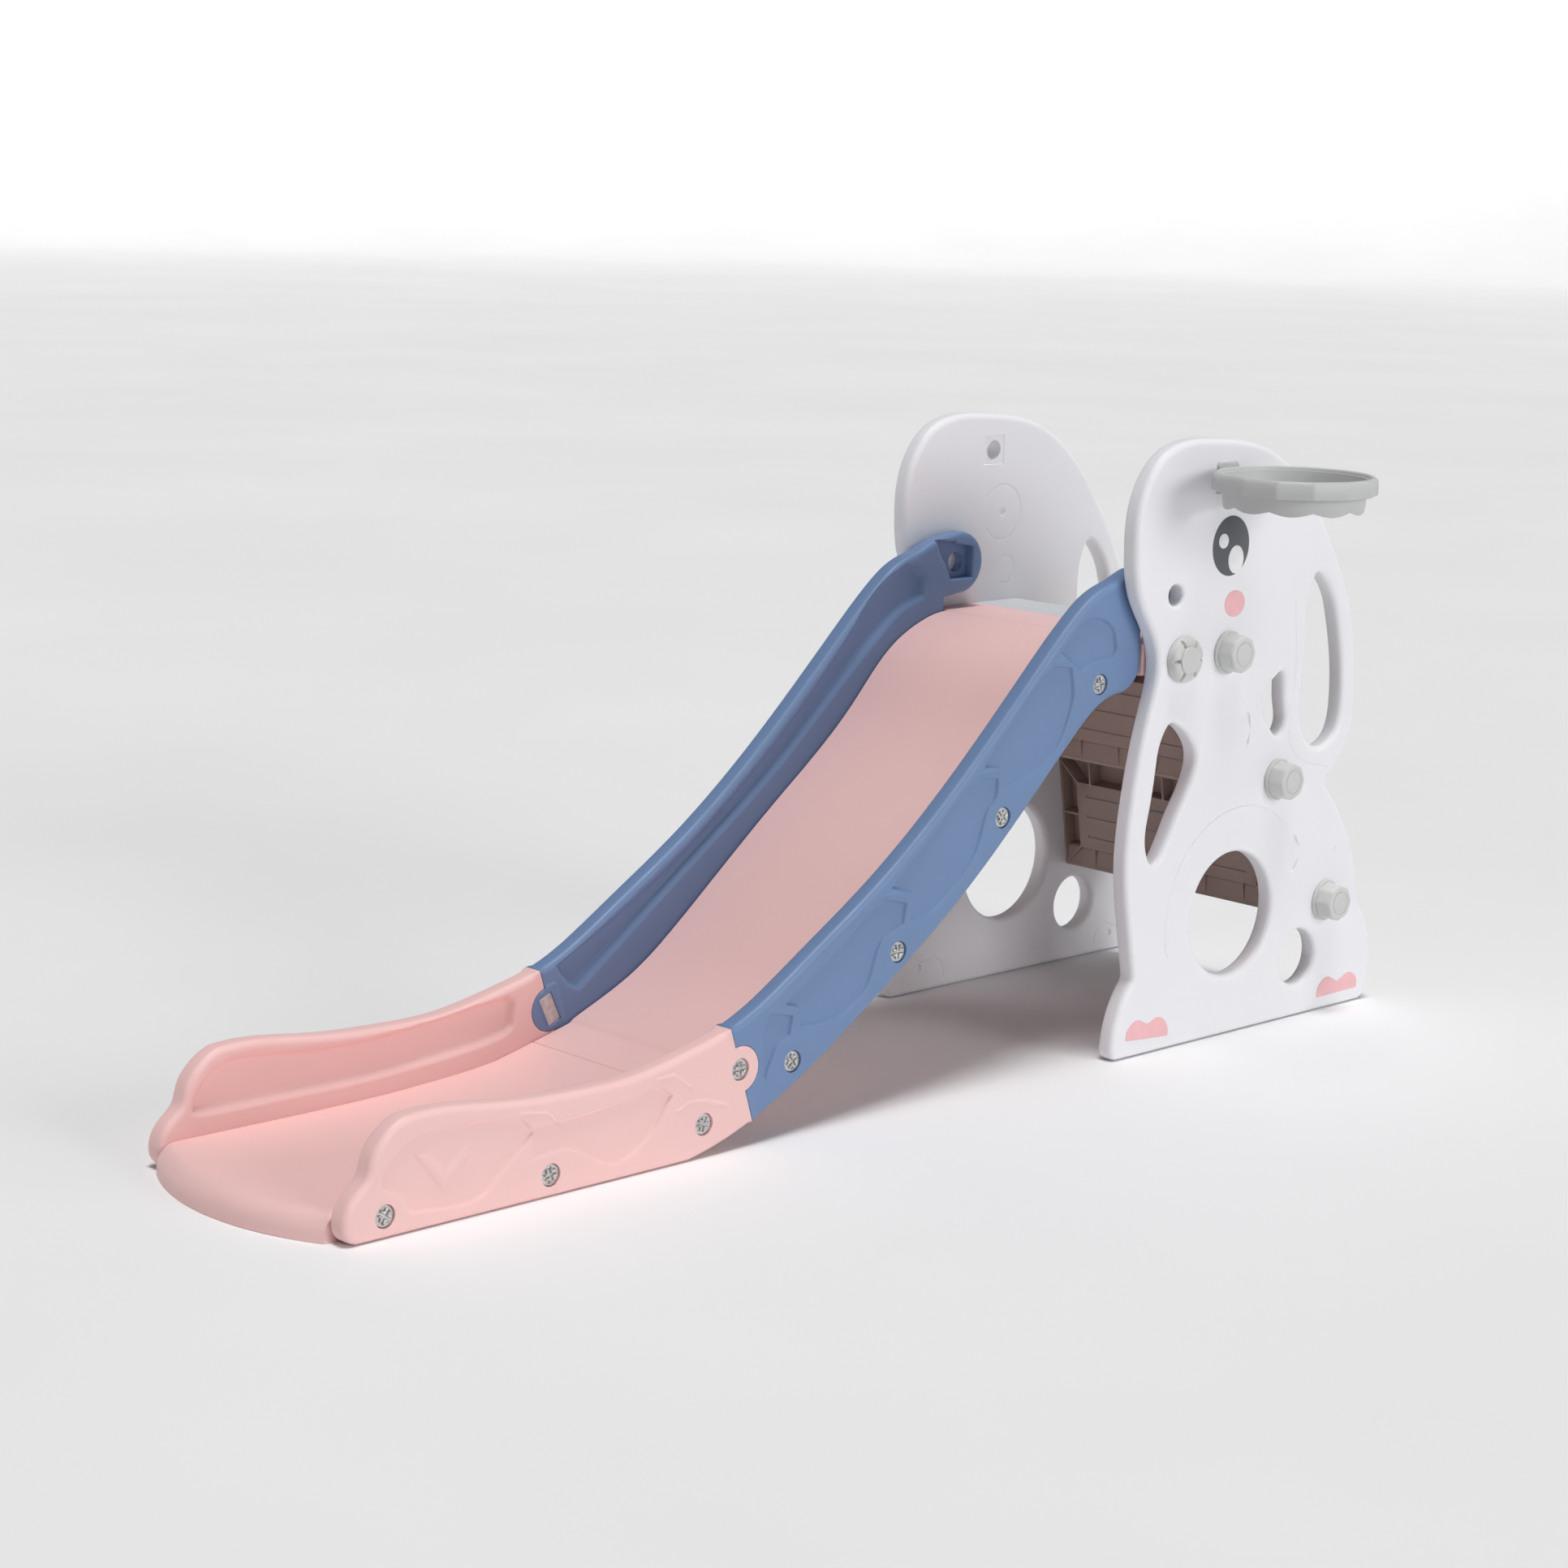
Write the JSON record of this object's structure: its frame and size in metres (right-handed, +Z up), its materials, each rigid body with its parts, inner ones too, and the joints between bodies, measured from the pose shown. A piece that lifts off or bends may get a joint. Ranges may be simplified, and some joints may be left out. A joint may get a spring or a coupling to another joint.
{
  "type": "toddler slide",
  "caption": "Toddler slide with side panels, steps, a platform, a two-part sliding surface between side rails and a ball hoop.",
  "frame": {"origin": "on the floor, on the centre line between the side rails, at the slide's exit", "axes": "+X along the slide from the exit towards the steps, +Y to the right of a child facing down the slide, +Z up"},
  "size_m": [1.7623, 0.6636, 0.7867],
  "materials": {
    "panel_white": "satin blow-moulded polyethylene",
    "rail_blue": "satin blow-moulded polyethylene",
    "slide_pink": "satin blow-moulded polyethylene",
    "step_brown": "moulded plastic with ribs",
    "platform_grey": "moulded plastic with a grip pattern",
    "knob_grey": "moulded plastic",
    "hoop_grey": "moulded plastic",
    "screw_grey": "moulded plastic, slightly glossy",
    "eye_dark": "coloured inlay",
    "eye_white": "coloured inlay",
    "cheek_pink": "coloured inlay",
    "bolt_steel": "zinc plated"
  },
  "bodies": {
    "slide_frame": {"left_side_panel": "panel_white", "left_eye": "eye_dark", "left_eye_highlights": "eye_white", "left_cheek": "cheek_pink", "left_toe_pads": "cheek_pink", "left_upper_rail": "rail_blue", "left_lower_rail": "slide_pink", "left_rail_screws": "screw_grey", "right_side_panel": "panel_white", "right_eye": "eye_dark", "right_eye_highlights": "eye_white", "right_cheek": "cheek_pink", "right_toe_pads": "cheek_pink", "right_upper_rail": "rail_blue", "right_lower_rail": "slide_pink", "right_rail_screws": "screw_grey", "lower_step": "step_brown", "upper_step": "step_brown", "platform": "platform_grey", "upper_slide_bed": "slide_pink", "lower_slide_bed": "slide_pink", "lap_nut_plates": "screw_grey", "step_nuts": "bolt_steel", "slide_nuts": "bolt_steel"},
    "left_deck_knob_body": {"left_deck_knob": "knob_grey", "left_deck_knob_bolt": "bolt_steel"},
    "left_upper_knob_body": {"left_upper_knob": "knob_grey", "left_upper_knob_bolt": "bolt_steel"},
    "left_lower_knob_body": {"left_lower_knob": "knob_grey", "left_lower_knob_bolt": "bolt_steel"},
    "left_slide_cap_body": {"left_slide_cap": "knob_grey", "left_slide_cap_bolt": "bolt_steel"},
    "right_deck_knob_body": {"right_deck_knob": "knob_grey", "right_deck_knob_bolt": "bolt_steel"},
    "right_upper_knob_body": {"right_upper_knob": "knob_grey", "right_upper_knob_bolt": "bolt_steel"},
    "right_lower_knob_body": {"right_lower_knob": "knob_grey", "right_lower_knob_bolt": "bolt_steel"},
    "right_slide_cap_body": {"right_slide_cap": "knob_grey", "right_slide_cap_bolt": "bolt_steel"},
    "hoop_body": {"hoop": "hoop_grey"}
  },
  "joints": [
    {"name": "left_deck_knob_turn", "type": "hinge", "parent": "slide_frame", "child": "left_deck_knob_body", "pos_m": [1.349, -0.213, 0.511], "axis": [0, -1, 0], "continuous": true},
    {"name": "left_upper_knob_turn", "type": "hinge", "parent": "slide_frame", "child": "left_upper_knob_body", "pos_m": [1.4655, -0.213, 0.332], "axis": [0, -1, 0], "continuous": true},
    {"name": "left_lower_knob_turn", "type": "hinge", "parent": "slide_frame", "child": "left_lower_knob_body", "pos_m": [1.582, -0.213, 0.153], "axis": [0, -1, 0], "continuous": true},
    {"name": "left_slide_cap_turn", "type": "hinge", "parent": "slide_frame", "child": "left_slide_cap_body", "pos_m": [1.259, -0.213, 0.51], "axis": [0, -1, 0], "continuous": true},
    {"name": "right_deck_knob_turn", "type": "hinge", "parent": "slide_frame", "child": "right_deck_knob_body", "pos_m": [1.349, 0.213, 0.511], "axis": [0, 1, 0], "continuous": true},
    {"name": "right_upper_knob_turn", "type": "hinge", "parent": "slide_frame", "child": "right_upper_knob_body", "pos_m": [1.4655, 0.213, 0.332], "axis": [0, 1, 0], "continuous": true},
    {"name": "right_lower_knob_turn", "type": "hinge", "parent": "slide_frame", "child": "right_lower_knob_body", "pos_m": [1.582, 0.213, 0.153], "axis": [0, 1, 0], "continuous": true},
    {"name": "right_slide_cap_turn", "type": "hinge", "parent": "slide_frame", "child": "right_slide_cap_body", "pos_m": [1.259, 0.213, 0.51], "axis": [0, 1, 0], "continuous": true},
    {"name": "hoop_pull_out", "type": "slide", "parent": "slide_frame", "child": "hoop_body", "axis": [0, -1, 0], "range_m": [0, 0.06]}
  ]
}
